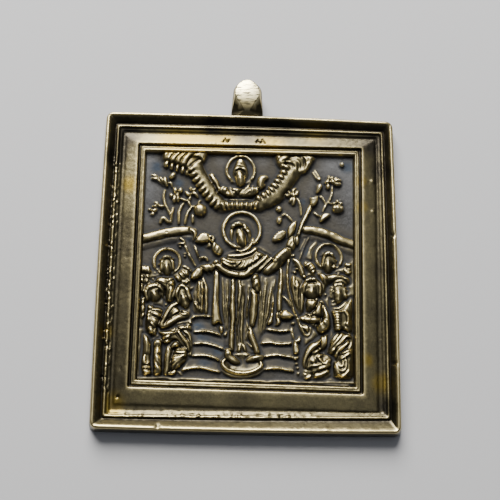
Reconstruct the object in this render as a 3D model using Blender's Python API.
"""Small travelling icon cast in bronze: one piece, lying on its back.

X runs to the right, Y up towards the hanging lug, Z out of the carved face. The origin is the middle
of the flat back. The plaque is a moulded frame around a sunk panel with figures in relief."""

import math

import bmesh
import bpy
import numpy as np

MM = 0.001

# Plaque: the crest is the worn top line of the rim, and the wall below it widens to the foot
CREST_WIDTH = 52.0 * MM
CREST_HEIGHT = 56.5 * MM
THICKNESS = 3.4 * MM
LEFT_DRAFT = 0.75 * MM
RIGHT_DRAFT = 1.0 * MM
BOTTOM_DRAFT = 0.7 * MM
TOP_DRAFT = 0.6 * MM
BACK_EDGE_ROUND = 0.35 * MM
CORNER_RADIUS = 1.2 * MM
INNER_CORNER_RADIUS = 0.35 * MM
SIDE_BOW = 0.2 * MM

# Outer moulding, from the crest inwards
CREST_LAND = 0.55 * MM
CREST_ROUND = 0.14 * MM
LEFT_SLOPE = 1.15 * MM
RIGHT_SLOPE = 0.9 * MM
BOTTOM_SLOPE = 1.4 * MM
TOP_SLOPE = 1.25 * MM
SLOPE_FOOT_HEIGHT = 2.2 * MM
RIDGE_WIDTH = 0.75 * MM
RIDGE_HEIGHT = 2.7 * MM
RIDGE_STEP_WIDTH = 0.4 * MM
RIDGE_STEP_HEIGHT = 2.32 * MM
GROOVE_WIDTH = 0.5 * MM
GROOVE_HEIGHT = 2.1 * MM
MOULDING_EDGE = 0.12 * MM

# Flat band, a little higher along its inner edge
LEFT_BAND = 2.4 * MM
RIGHT_BAND = 2.65 * MM
BOTTOM_BAND = 3.05 * MM
TOP_BAND = 1.75 * MM
BAND_OUTER_HEIGHT = 2.2 * MM
BAND_INNER_HEIGHT = 2.48 * MM

# Thin groove, double inner bead and the wall down to the panel
GAP_WIDTH = 0.3 * MM
GAP_HEIGHT = 1.85 * MM
BEAD_WIDTH = 0.42 * MM
BEAD_HEIGHT = 2.25 * MM
BEAD_DIP = 0.12 * MM
PANEL_WALL = 0.3 * MM
PANEL_HEIGHT = 1.2 * MM

# The hand-cut mould isn't quite square: how far an end of a line strays from its middle
TOP_RIDGE_RISE = 0.15 * MM
BOTTOM_RIDGE_RISE = 0.25 * MM
TOP_PANEL_RISE = 0.23 * MM
BOTTOM_PANEL_FALL = 0.25 * MM
RIGHT_PANEL_LEAN = 0.25 * MM

# Relief
RELIEF_HEIGHT = 1.6 * MM
CARVING_PITCH = 0.2 * MM
FACE_BUDGET = 9200

# Hanging lug, with a bore for a cord that runs from side to side
LUG_CENTRE = -0.65 * MM
LUG_RISE = 7.35 * MM
LUG_FOOT_WIDTH = 5.9 * MM
LUG_SHOULDER_WIDTH = 5.3 * MM
LUG_SHOULDER_DROP = 2.3 * MM
LUG_THICKNESS = 4.2 * MM
LUG_ROOT = 1.6 * MM
LUG_FACET_WIDTH = 4.5 * MM
LUG_FACET_SHIFT = 0.1 * MM
LUG_FACET_DROP = 2.9 * MM
LUG_NECK_WIDTH = 0.8 * MM
LUG_NECK_DROP = 6.0 * MM
LUG_FLARE_WIDTH = 3.4 * MM
LUG_NECK_HEIGHT = 3.8 * MM
LUG_SIDE_HEIGHT = 2.3 * MM
LUG_SHOULDER_HEIGHT = 3.3 * MM
CORD_BORE = 2.0 * MM
CORD_BORE_DROP = 3.4 * MM
LUG_ARC_STEPS = 6

BRONZE_COLOUR = (0.30, 0.25, 0.16, 1.0)
BRONZE_ROUGHNESS = 0.42

# The carving is drawn in these units, with heights up to DRAWN_HEIGHT, and scaled to the panel
DRAWN_LEFT, DRAWN_RIGHT = -18.8, 18.8
DRAWN_BOTTOM, DRAWN_TOP = -20.05, 21.6
DRAWN_HEIGHT = 1.6


def smooth_curve(points, steps=8):
    """Points along a smooth curve that passes through the given ones."""
    p = np.asarray(points, float)
    if len(p) == 2:
        return p[0] + (p[1] - p[0]) * np.linspace(0, 1, 3)[:, None]
    ends = np.vstack([2 * p[0] - p[1], p, 2 * p[-1] - p[-2]])
    t = np.linspace(0, 1, steps, endpoint=False)[:, None]
    spans = []
    for a, b, c, d in zip(ends, ends[1:], ends[2:], ends[3:]):
        spans.append(0.5 * (2 * b + (c - a) * t + (2 * a - 5 * b + 4 * c - d) * t**2
                            + (3 * b - a - 3 * c + d) * t**3))
    return np.vstack(spans + [p[-1:]])


def along(points, share):
    """The place and direction at a share of a curve's length."""
    curve = smooth_curve(points)
    steps = np.linalg.norm(np.diff(curve, axis=0), axis=1)
    walked = np.concatenate([[0], np.cumsum(steps)])
    at = min(max(share, 0.0), 1.0) * walked[-1]
    k = min(int(np.searchsorted(walked, at, side="right")) - 1, len(steps) - 1)
    way = (curve[k + 1] - curve[k]) / max(steps[k], 1e-9)
    return curve[k] + way * (at - walked[k]), way


def turned(x, y, angle):
    """A step (x, y) turned left by an angle in degrees."""
    a = math.radians(angle)
    return np.array([x * math.cos(a) - y * math.sin(a), x * math.sin(a) + y * math.cos(a)])


class Grip:
    """Finds a form's place on the carving. What the form does there is up to the press."""

    def __init__(self, carving, press, sharp=0.5, margin=0.0, full=1.0):
        self.x, self.y, self.press = carving.x, carving.y, press
        self.sharp, self.margin, self.full = sharp, margin, full
        self.low_x, self.high_x = self.x.min(axis=0), self.x.max(axis=0)
        self.low_y, self.high_y = self.y.min(axis=1), self.y.max(axis=1)

    def near(self, points, reach):
        """The rows and columns of the grid within reach of the points."""
        reach = reach + self.margin
        (x0, y0), (x1, y1) = points.min(axis=0) - reach, points.max(axis=0) + reach
        rows = np.nonzero((self.high_y >= y0) & (self.low_y <= y1))[0]
        columns = np.nonzero((self.high_x >= x0) & (self.low_x <= x1))[0]
        if len(rows) == 0 or len(columns) == 0:
            return None
        return slice(rows[0], rows[-1] + 1), slice(columns[0], columns[-1] + 1)

    def nearest(self, window, curve):
        """Distance to a curve, share of its length and side (left is positive), over a window."""
        x, y = self.x[window], self.y[window]
        steps = np.linalg.norm(np.diff(curve, axis=0), axis=1)
        walked = np.concatenate([[0], np.cumsum(steps)])
        best, share, side = np.full(x.shape, 1e9), np.zeros(x.shape), np.ones(x.shape)
        for k, (a, b) in enumerate(zip(curve, curve[1:])):
            way = b - a
            t = np.clip(((x - a[0]) * way[0] + (y - a[1]) * way[1]) / max(way @ way, 1e-12), 0, 1)
            gap = np.hypot(x - a[0] - t * way[0], y - a[1] - t * way[1])
            nearer = gap < best
            best = np.where(nearer, gap, best)
            share = np.where(nearer, (walked[k] + t * steps[k]) / max(walked[-1], 1e-9), share)
            turn = way[0] * (y - a[1]) - way[1] * (x - a[0])
            side = np.where(nearer, np.where(turn >= 0, 1, -1), side)
        return best, share, side


class Rolls(Grip):
    """Forms that are rolled along a curve."""

    def stroke(self, points, width, height, ends=(0.6, 0.6), sharp=None):
        """A rounded ridge along a curve. width is its half width, ends the share of it left at each end."""
        curve = smooth_curve(points)
        window = self.near(curve, width * self.full)
        if window is None:
            return
        best, share, _ = self.nearest(window, curve)
        fore = np.clip(share * 2.5, 0, 1)
        aft = np.clip((1 - share) * 2.5, 0, 1)
        kept = (ends[0] + (1 - ends[0]) * np.sin(fore * math.pi / 2)) \
            * (ends[1] + (1 - ends[1]) * np.sin(aft * math.pi / 2))
        half = np.maximum(width * self.full * kept, 1e-6)
        q = np.clip(1 - (best / half)**2, 0, 1)
        self.press(window, height * (0.45 + 0.55 * kept) * q**(sharp or self.sharp),
                   np.maximum(best - half, 0))

    def strokes(self, curves, width, height, ends=(0.6, 0.6)):
        for points in curves:
            self.stroke(points, width, height, ends)

    def ring(self, x, y, radius, width, height, start=0.0, stop=360.0, squeeze=1.0):
        """A rounded ring or arc. squeeze is its width over its height."""
        turns = np.radians(np.linspace(start, stop, 25))
        points = np.stack([x + radius * squeeze * np.cos(turns), y + radius * np.sin(turns)], 1)
        self.stroke(points, width, height, ends=(1, 1))

    def ribs(self, guide, count, near, far, width, height, lean=0.0, span=(0.0, 1.0), ends=(0.6, 0.6)):
        """Short strokes across a curve, from one side distance to another. Left of the curve is positive."""
        for share in np.linspace(span[0], span[1], count):
            place, way = along(guide, share)
            side = np.array([-way[1], way[0]])
            middle = place + side * (near + far) / 2 + way * lean / 2
            self.stroke([place + side * near, middle, place + side * far], width, height, ends)

    def between(self, first, last, count, width, height, ends=(0.5, 0.5)):
        """Strokes that pass from one guide curve to another, spaced and ended a little unevenly."""
        for k in range(count):
            share = (k + 0.3 * math.sin(2.4 * k)) / max(count - 1, 1)
            start, stop = 0.1 * math.sin(3.7 * k)**2, 1 - 0.1 * math.sin(1.3 * k + 1)**2
            points = [along(first, t)[0] * (1 - share) + along(last, t)[0] * share
                      for t in np.linspace(start, stop, 5)]
            self.stroke(points, width * (1 + 0.25 * math.sin(5.1 * k)), height, ends)


class Tool(Rolls):
    """All the forms that a tool can draw: rolls, drops, pillows and treads."""

    def dome(self, x, y, across, up, height, turn=0.0, sharp=0.5):
        """An oval boss with half sizes across and up."""
        window = self.near(np.array([[x, y]]), max(across, up))
        if window is None:
            return
        dx, dy = self.x[window] - x, self.y[window] - y
        a = math.radians(turn)
        u = (dx * math.cos(a) + dy * math.sin(a)) / across
        v = (-dx * math.sin(a) + dy * math.cos(a)) / up
        far = np.sqrt(u**2 + v**2)
        self.press(window, height * np.clip(1 - far**2, 0, 1)**sharp,
                   np.maximum(far - 1, 0) * min(across, up))

    def beads(self, places, size, height):
        for x, y in places:
            self.dome(x, y, size, size, height)

    def plate(self, outline, height, edge):
        """A raised area inside a smooth closed outline, with an edge that slopes over a width."""
        p = np.asarray(outline, float)
        curve = smooth_curve(np.vstack([p, p[:1]]), 5)
        window = self.near(curve, 0)
        if window is None:
            return
        x, y = self.x[window], self.y[window]
        best, _, _ = self.nearest(window, curve)
        inside = np.zeros(x.shape, bool)
        for a, b in zip(curve, curve[1:]):
            if abs(b[1] - a[1]) > 1e-12:
                crosses = (a[1] > y) != (b[1] > y)
                inside ^= crosses & (x < a[0] + (y - a[1]) * (b[0] - a[0]) / (b[1] - a[1]))
        rise = np.sin(np.clip(best / edge, 0, 1) * math.pi / 2)
        self.press(window, np.where(inside, height * self.full * rise, 0), np.where(inside, 0, best))

    def tread(self, nosing, depth, height, foot):
        """A step: it rises towards its nosing from the left of the curve and drops on the right."""
        curve = smooth_curve(nosing)
        window = self.near(curve, depth)
        if window is None:
            return
        best, share, side = self.nearest(window, curve)
        within = (share > 0.002) & (share < 0.998)
        slope = height - (height - foot) * np.clip(best / depth, 0, 1)
        drop = height * np.clip(1 - best / 0.2, 0, 1)**0.5
        form = np.where(side > 0, np.where(best < depth, slope, 0), drop)
        self.press(window, np.where(within, form, 0), best)


# How far and how deep the surface is cut back around a form that lies in front of another
MOAT_WIDTH = 0.24
MOAT_DEPTH = 0.36
# How much thicker forms and lines come out of the mould than they are drawn
FULLNESS = 1.22
LINE_FULLNESS = 1.1
LINE_WEIGHT = 0.95


class Carving:
    """The relief, drawn from back to front. The base holds the bodies, the surface the finished work.

    A mass merges with what is there, a front form stands free of it behind a cut-back line,
    a line is laid on the bodies and a cut is taken out of the surface."""

    def __init__(self, x, y):
        self.x, self.y = x, y
        self.base, self.surface = np.zeros(x.shape), np.zeros(x.shape)
        self.mass = Tool(self, self.add_mass, full=FULLNESS)
        self.front = Tool(self, self.add_front, margin=MOAT_WIDTH, full=FULLNESS)
        self.line = Tool(self, self.add_line, sharp=0.8, full=LINE_FULLNESS)
        self.cut = Tool(self, self.take_away, sharp=0.9)

    def add_mass(self, window, form, outside):
        for field in (self.base, self.surface):
            field[window] = np.maximum(field[window], form)

    def add_front(self, window, form, outside):
        moat = MOAT_DEPTH * np.clip(1 - outside / MOAT_WIDTH, 0, 1)**1.5
        for field in (self.base, self.surface):
            field[window] = np.maximum(np.maximum(field[window] - moat, 0), form)

    def add_line(self, window, form, outside):
        floor = np.minimum(self.base[window], self.surface[window])
        self.surface[window] = np.maximum(self.surface[window], floor + form * LINE_WEIGHT)

    def take_away(self, window, form, outside):
        self.surface[window] = np.maximum(self.surface[window] - form, 0)

    def height(self):
        return self.surface


def head(c, x, y, across, up, height, turn=0.0, hair=True):
    """A plain oval face: eyes halfway down, nose halfway from eyes to chin, a quiet mouth below."""

    def at(u, v):
        step = turned(u * across, v * up, turn)
        return x + step[0], y + step[1]

    if hair:
        c.front.dome(*at(0, 0.14), 1.28 * across, 1.04 * up, 0.85 * height, turn, sharp=0.4)
        c.mass.dome(*at(0, -0.14), 0.88 * across, 0.88 * up, height, turn, sharp=0.5)
        c.mass.stroke([at(-1.1, -0.3), at(-1.02, 0.3), at(-0.58, 0.74), at(0, 0.88), at(0.58, 0.74),
                       at(1.02, 0.3), at(1.1, -0.3)], 0.34 * across, 1.05 * height, ends=(0.7, 0.7))
        for share in (-0.75, -0.45, -0.15, 0.15, 0.45, 0.75):
            c.cut.stroke([at(share, 0.62 - 0.3 * abs(share)), at(1.3 * share, 1.2 - 0.45 * abs(share))],
                         0.08 * across, 0.2 * height)
    else:
        c.front.dome(x, y, across, up, height, turn, sharp=0.5)
    for side in (-1, 1):
        c.cut.stroke([at(0.16 * side, 0.04), at(0.38 * side, 0.07), at(0.6 * side, 0.02)], 0.15 * across,
                     0.12 * height)
        c.line.stroke([at(0.2 * side, -0.03), at(0.38 * side, -0.01), at(0.55 * side, -0.04)], 0.1 * across,
                      0.06 * height)
    c.line.stroke([at(0, 0.08), at(0, -0.12), at(0, -0.3)], 0.16 * across, 0.12 * height, ends=(0.4, 1))
    c.line.stroke([at(-0.2, -0.47), at(0, -0.455), at(0.2, -0.47)], 0.1 * across, 0.06 * height)
    c.cut.stroke([at(-0.24, -0.525), at(0, -0.515), at(0.24, -0.525)], 0.08 * across, 0.07 * height)
    c.line.stroke([at(-0.15, -0.585), at(0.15, -0.585)], 0.1 * across, 0.05 * height)


def halo(c, x, y, radius, height, width=0.3, squeeze=1.0):
    """A thin raised ring around a head, on a dished disc."""
    c.front.dome(x, y, radius * squeeze + width, radius + width, 0.3, sharp=0.15)
    c.cut.dome(x, y, radius * squeeze, radius, 0.22, sharp=0.6)
    c.line.ring(x, y, radius, width, height, squeeze=squeeze)


def steps(c):
    """Curved steps to either side of the footstool, each with a bright nosing."""
    for nosing in ([(-9.9, -9.3), (-9.2, -8.85), (-8.0, -8.75), (-6.3, -8.95)],
                   [(-9.5, -11.65), (-7.8, -11.5), (-6.0, -11.7), (-4.4, -12.2)],
                   [(-9.6, -13.75), (-7.6, -13.6), (-5.6, -14.1), (-3.6, -14.9)],
                   [(-9.7, -15.85), (-7.4, -15.7), (-5.8, -16.1), (-4.3, -16.9)],
                   [(-11.7, -18.45), (-10.0, -18.0), (-7.6, -17.95), (-4.6, -18.5)],
                   [(3.2, -10.9), (4.5, -11.05), (6.0, -11.15), (7.6, -11.0)],
                   [(2.0, -13.5), (3.9, -13.2), (5.6, -13.45), (7.9, -13.2)],
                   [(2.6, -15.8), (4.8, -15.4), (6.4, -15.5), (8.0, -15.7)],
                   [(2.4, -18.1), (4.4, -17.75), (6.0, -17.75), (8.1, -18.1)]):
        c.mass.tread(nosing, 1.55, 0.4, 0.2)
        c.line.stroke(nosing, 0.24, 0.42, ends=(0.7, 0.7))


def bodies(c):
    """Low masses behind the three groups of figures, so that no bare ground shows between their forms."""
    c.mass.plate([(-19.4, 0.0), (-16.8, -0.6), (-12.8, -0.8), (-10.4, -0.6), (-10.0, -3.0), (-9.7, -8.0),
                  (-9.5, -14.5), (-10.0, -17.2), (-12.0, -19.4), (-19.4, -19.4)], 0.4, 0.5)
    c.mass.plate([(10.3, -0.4), (12.2, 0.4), (17.0, 0.8), (19.3, 1.2), (19.3, -19.4), (9.7, -19.4),
                  (9.3, -16.2), (9.9, -13.2), (9.3, -9.4), (10.0, -5.0)], 0.4, 0.5)
    c.mass.plate([(-6.2, 0.2), (-4.0, 3.0), (1.5, 4.6), (4.6, 2.8), (6.6, 0.0), (6.4, -6.0), (6.2, -9.7),
                  (4.0, -10.4), (2.6, -12.2), (2.5, -15.6), (-4.0, -15.6), (-4.5, -12.2),
                  (-6.4, -10.2)], 0.3, 0.4)


def ground_arches(c):
    """Bands of ground that part the plants from the figures below, each with a long lower slope."""
    left = [(-19.6, 4.9), (-16.5, 5.85), (-13.2, 6.6), (-11.0, 6.85), (-10.0, 6.7)]
    right = [(10.2, 7.55), (12.2, 7.45), (14.6, 6.75), (16.8, 5.75), (19.4, 4.9)]
    for arch, tail in ((left, 0.95), (right, 0.8)):
        c.mass.stroke([(x, y - tail) for x, y in arch], 1.0, 0.42, ends=(0.9, 0.9), sharp=0.8)
        c.front.stroke(arch, 0.72, 0.95, ends=(0.9, 0.85), sharp=0.3)
    c.front.stroke([(-10.2, 6.9), (-9.65, 6.3), (-9.6, 5.6), (-9.9, 5.0)], 0.36, 0.85, ends=(0.9, 0.6))
    c.cut.dome(-14.8, 6.3, 0.28, 0.16, 0.25, turn=12)
    # Trunks behind the arches
    c.mass.strokes([[(-11.5, 5.4), (-10.7, 3.8), (-9.8, 2.0), (-9.1, 0.5)]], 0.3, 0.35)
    c.front.strokes([[(-12.3, 5.4), (-11.6, 4.8), (-11.2, 3.8), (-10.6, 2.4), (-9.9, 1.2), (-9.2, 0.2)],
                     [(-12.5, 4.25), (-11.9, 4.35), (-11.4, 4.2)]], 0.22, 0.75, ends=(0.9, 0.7))
    c.front.stroke([(-9.7, 4.1), (-9.3, 3.1), (-8.9, 1.9), (-8.6, 0.9)], 0.25, 0.7)
    c.front.strokes([[(-12.4, 3.75), (-12.0, 3.65)], [(-11.6, 2.5), (-11.1, 2.6)],
                     [(-11.5, 2.1), (-11.2, 2.0)]],
                    0.2, 0.65)
    c.front.stroke([(-8.7, 1.2), (-8.35, 1.75), (-7.9, 1.95), (-7.4, 1.7), (-7.25, 1.3)], 0.25, 0.75)
    # Cloth and trunk at the right
    c.mass.plate([(12.2, 5.8), (11.2, 4.9), (10.3, 3.1), (10.2, 2.3), (11.4, 1.9), (11.7, 3.2),
                  (12.5, 4.8)],
                 0.35, 0.3)
    c.front.strokes([[(10.9, 6.2), (10.3, 5.2), (9.8, 3.9), (9.2, 2.1)],
                     [(10.2, 5.9), (9.7, 4.8), (9.3, 3.8)]],
                    0.18, 0.5, ends=(0.8, 0.9))
    c.line.stroke([(12.0, 5.3), (11.2, 4.2), (10.8, 2.9)], 0.19, 0.2)


def clouds(c):
    """Two rolls of cloud, from the top corners to a ribbed band under the upper figure."""
    left = [(-10.0, 19.2), (-9.1, 17.2), (-7.7, 15.0), (-6.3, 13.1), (-4.9, 11.9)]
    right = [(8.6, 20.3), (7.5, 18.2), (6.0, 15.8), (4.3, 13.7), (1.6, 12.2)]
    c.front.plate([(-15.9, 19.3), (-15.5, 21.9), (-8.1, 22.1), (-8.4, 19.4), (-9.3, 17.6), (-11.5, 17.9),
                   (-13.5, 18.3), (-15.2, 18.6)], 0.95, 0.8)
    c.front.plate([(4.5, 22.0), (4.7, 20.4), (6.0, 18.6), (8.0, 17.6), (10.4, 18.4), (11.7, 20.2),
                   (11.6, 22.0)], 0.95, 0.8)
    for x, y in ((-15.3, 19.3), (-14.3, 18.9), (-13.3, 18.6), (-12.2, 18.3), (-11.3, 17.9)):
        c.front.dome(x, y, 0.56, 0.75, 0.95, turn=-10)
    c.front.stroke(left, 1.25, 0.95, ends=(1, 0.85))
    c.front.stroke(right, 1.45, 1.0, ends=(1, 0.8))
    # Puffs on the outer half of the left roll and the inner half of the right one, with notches between
    for guide, count, away, size in ((left, 9, -0.9, 0.6), (right, 10, -1.15, 0.6)):
        for share in np.linspace(0.05, 0.95, count):
            place, way = along(guide, share)
            side = np.array([-way[1], way[0]])
            x, y = place + side * away * (1 - 0.3 * share)
            c.mass.dome(x, y, 0.95, size, 1.2, turn=math.degrees(math.atan2(side[1], side[0])), sharp=0.4)
    c.cut.ribs(left, 8, -0.35, -1.6, 0.12, 0.34, lean=0.25, span=(0.11, 0.89), ends=(0.4, 1))
    c.cut.ribs(right, 9, -0.4, -1.8, 0.12, 0.34, lean=0.2, span=(0.1, 0.9), ends=(0.4, 1))
    # Fingers of the left cloud and turned arcs of the right one, parted by cuts
    for points in ([(-14.8, 18.8), (-14.7, 20.0), (-14.0, 21.1), (-13.0, 21.8)],
                   [(-13.8, 18.4), (-13.7, 19.8), (-13.1, 20.9), (-12.1, 21.6)],
                   [(-12.75, 18.2), (-12.7, 19.5), (-12.2, 20.6), (-11.3, 21.4)],
                   [(-11.8, 17.9), (-11.7, 19.1), (-11.3, 20.1), (-10.5, 20.9), (-9.5, 21.5)],
                   [(-11.0, 18.5), (-10.6, 19.4), (-9.9, 20.0), (-9.0, 20.4)],
                   [(-15.4, 20.3), (-15.0, 21.3)],
                   [(5.0, 20.6), (5.6, 21.0), (5.9, 21.8)],
                   [(5.6, 19.8), (6.8, 20.15), (7.8, 19.9), (8.1, 19.3)],
                   [(6.0, 20.5), (7.4, 20.8), (8.5, 20.4), (8.9, 19.6), (8.9, 18.9)],
                   [(7.2, 21.4), (8.6, 21.1), (9.4, 20.4), (9.4, 19.3)],
                   [(8.9, 21.8), (9.8, 21.2), (10.1, 20.3), (9.9, 19.4)],
                   [(10.2, 21.8), (10.7, 21.1), (10.8, 20.2)]):
        c.cut.stroke(points, 0.15, 0.36, ends=(0.8, 0.8))
    # Ribbed band between the rolls
    band = [(-5.0, 11.2), (-3.4, 11.7), (-1.6, 11.85), (0.4, 11.8), (1.8, 11.6)]
    c.mass.stroke(band, 0.8, 0.6, ends=(0.9, 0.9))
    c.line.ribs(band, 8, -0.5, 0.65, 0.27, 0.5, lean=-0.2, span=(0.06, 0.92))
    c.front.stroke([(-4.5, 12.95), (-2.8, 12.85), (-1.0, 12.95), (0.6, 12.95)], 0.2, 0.6)


def upper_figure(c):
    """A half figure with a ringed head, both hands raised."""
    c.front.plate([(-6.0, 14.3), (-5.4, 15.5), (-3.6, 15.4), (-1.8, 15.2), (0.3, 15.5), (1.7, 15.5),
                   (1.9, 14.6), (1.0, 13.6), (-1.8, 13.2), (-4.4, 13.4)], 0.75, 0.45)
    halo(c, -1.65, 18.7, 2.65, 0.6, 0.26, squeeze=0.98)
    c.front.dome(-1.7, 18.1, 1.35, 2.75, 1.0, sharp=0.25)
    for y, half in ((18.7, 1.1), (19.3, 1.0), (19.85, 0.85), (20.35, 0.55)):
        c.line.stroke([(-1.75 - half, y - 0.14), (-1.75, y + 0.1), (-1.75 + half, y - 0.14)], 0.2, 0.45,
                      ends=(0.6, 0.6))
    head(c, -1.7, 17.0, 1.08, 1.75, 1.15, hair=False)
    c.line.between([(-2.5, 16.2), (-2.2, 15.2)], [(-0.9, 16.2), (-1.2, 15.2)], 4, 0.19, 0.19)
    # Crossed garment with its folds
    c.front.stroke([(0.05, 16.2), (-0.5, 15.2), (-1.3, 14.2), (-2.0, 13.4)], 0.28, 0.8)
    c.front.stroke([(-3.7, 15.0), (-2.9, 14.1), (-2.2, 13.5)], 0.2, 0.65)
    c.line.strokes([[(-0.6, 14.2), (0.1, 14.7)], [(-1.1, 13.9), (-0.3, 14.3)], [(-0.2, 15.3), (0.4, 15.0)]],
                   0.2, 0.34)
    c.line.beads([(-2.8, 14.1), (-2.3, 14.5)], 0.24, 0.3)
    c.line.strokes([[(-5.3, 15.3), (-5.5, 14.8), (-5.7, 14.2)], [(-4.6, 15.3), (-5.0, 14.8), (-5.1, 14.2)],
                    [(-4.2, 14.9), (-4.5, 14.3)], [(0.5, 15.3), (0.6, 14.8), (0.4, 14.3)],
                    [(1.2, 15.4), (1.3, 14.9), (1.3, 14.3)], [(-3.7, 13.9), (-3.9, 13.5)]],
                   0.27, 0.49)
    c.front.beads([(-3.3, 16.4), (-3.5, 15.2), (0.15, 16.4), (0.6, 15.7)], 0.3, 0.6)
    # Blessing hand on the left, open hand on the right
    c.front.stroke([(-7.0, 17.3), (-6.5, 16.5), (-6.0, 15.8), (-5.7, 15.1)], 0.46, 0.95, ends=(0.8, 0.9))
    c.mass.strokes([[(-7.35, 17.5), (-6.7, 16.9)], [(-6.95, 17.7), (-6.5, 17.1)],
                    [(-6.8, 16.0), (-6.3, 16.4)]],
                   0.26, 0.85)
    c.front.stroke([(2.9, 17.4), (2.35, 17.0), (2.05, 16.3), (1.95, 15.5)], 0.66, 1.05, ends=(0.75, 0.8))
    c.mass.strokes([[(3.2, 17.6), (2.6, 17.4)], [(2.4, 15.4), (3.0, 15.95)]], 0.25, 0.75)


def left_plants(c):
    """The flower bed that grows over the left arch."""
    c.front.strokes([[(-15.4, 14.3), (-15.55, 13.2), (-15.2, 11.7), (-14.6, 10.4), (-14.1, 9.3),
                      (-13.9, 8.2)],
                     [(-13.7, 11.0), (-13.95, 9.9), (-13.95, 8.2)],
                     [(-11.9, 11.9), (-12.4, 10.9), (-12.7, 9.7), (-12.6, 8.1)],
                     [(-12.5, 12.95), (-11.8, 12.5), (-11.2, 12.3), (-10.8, 11.7), (-10.5, 11.4)],
                     [(-10.75, 13.2), (-11.1, 12.4)],
                     [(-10.15, 9.8), (-10.05, 8.4)],
                     [(-8.8, 12.6), (-9.5, 11.7), (-10.3, 11.2), (-10.9, 10.4), (-11.3, 9.4),
                      (-11.45, 8.1)]],
                    0.22, 0.8, ends=(0.8, 0.8))
    # Tulip with long stamens
    c.front.strokes([[(-17.8, 17.2), (-17.0, 16.95), (-16.4, 16.3), (-15.6, 15.4)],
                     [(-17.8, 16.6), (-16.8, 16.35), (-16.2, 15.8), (-15.6, 15.2)],
                     [(-14.7, 15.7), (-14.3, 15.7), (-14.05, 15.0)]], 0.24, 0.8, ends=(0.8, 0.8))
    c.front.strokes([[(-16.2, 16.65), (-15.7, 16.0), (-15.2, 15.3)],
                     [(-15.4, 16.65), (-15.25, 15.9), (-15.05, 15.2)]],
                    0.36, 1.0, ends=(0.7, 0.7))
    c.front.dome(-14.1, 17.1, 0.55, 0.85, 1.05, turn=-35)
    c.front.strokes([[(-14.3, 13.6), (-14.0, 13.15), (-13.3, 13.3)],
                     [(-13.2, 13.2), (-13.55, 12.6), (-13.6, 12.1)],
                     [(-12.9, 13.3), (-12.9, 12.3)]], 0.36, 0.9)
    for x, turn in ((-13.5, 16), (-12.6, -16)):
        c.front.dome(x, 14.3, 0.48, 0.72, 1.05, turn)
    c.mass.dome(-13.1, 13.4, 0.45, 0.45, 1.0)
    c.front.strokes([[(-10.75, 14.9), (-10.4, 14.2)], [(-9.95, 14.75), (-10.35, 14.1)],
                     [(-11.6, 14.1), (-11.1, 13.65), (-10.4, 13.95)], [(-10.4, 13.95), (-9.9, 13.9),
                                                                       (-9.4, 13.3)]],
                    0.32, 0.9, ends=(0.8, 0.7))
    # Sprig, leaf and fruit
    c.front.strokes([[(-15.6, 11.25), (-16.4, 11.35), (-17.4, 11.25)],
                     [(-16.4, 11.4), (-16.7, 11.85), (-17.1, 11.9)]],
                    0.27, 0.85, ends=(0.8, 0.7))
    c.front.stroke([(-17.5, 10.35), (-17.0, 10.4), (-16.65, 10.75)], 0.36, 0.9)
    c.front.beads([(-17.9, 10.6)], 0.34, 0.9)
    c.front.stroke([(-17.7, 9.6), (-17.1, 9.95)], 0.28, 0.7)
    c.front.stroke([(-15.95, 8.2), (-15.7, 8.95), (-15.2, 9.05), (-14.7, 8.5), (-14.0, 8.35)], 0.3, 0.8,
                   ends=(0.8, 0.6))
    c.front.dome(-8.8, 10.75, 1.32, 1.3, 1.2)
    c.cut.stroke([(-9.1, 11.6), (-8.9, 10.9), (-9.1, 10.2)], 0.14, 0.18)


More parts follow.
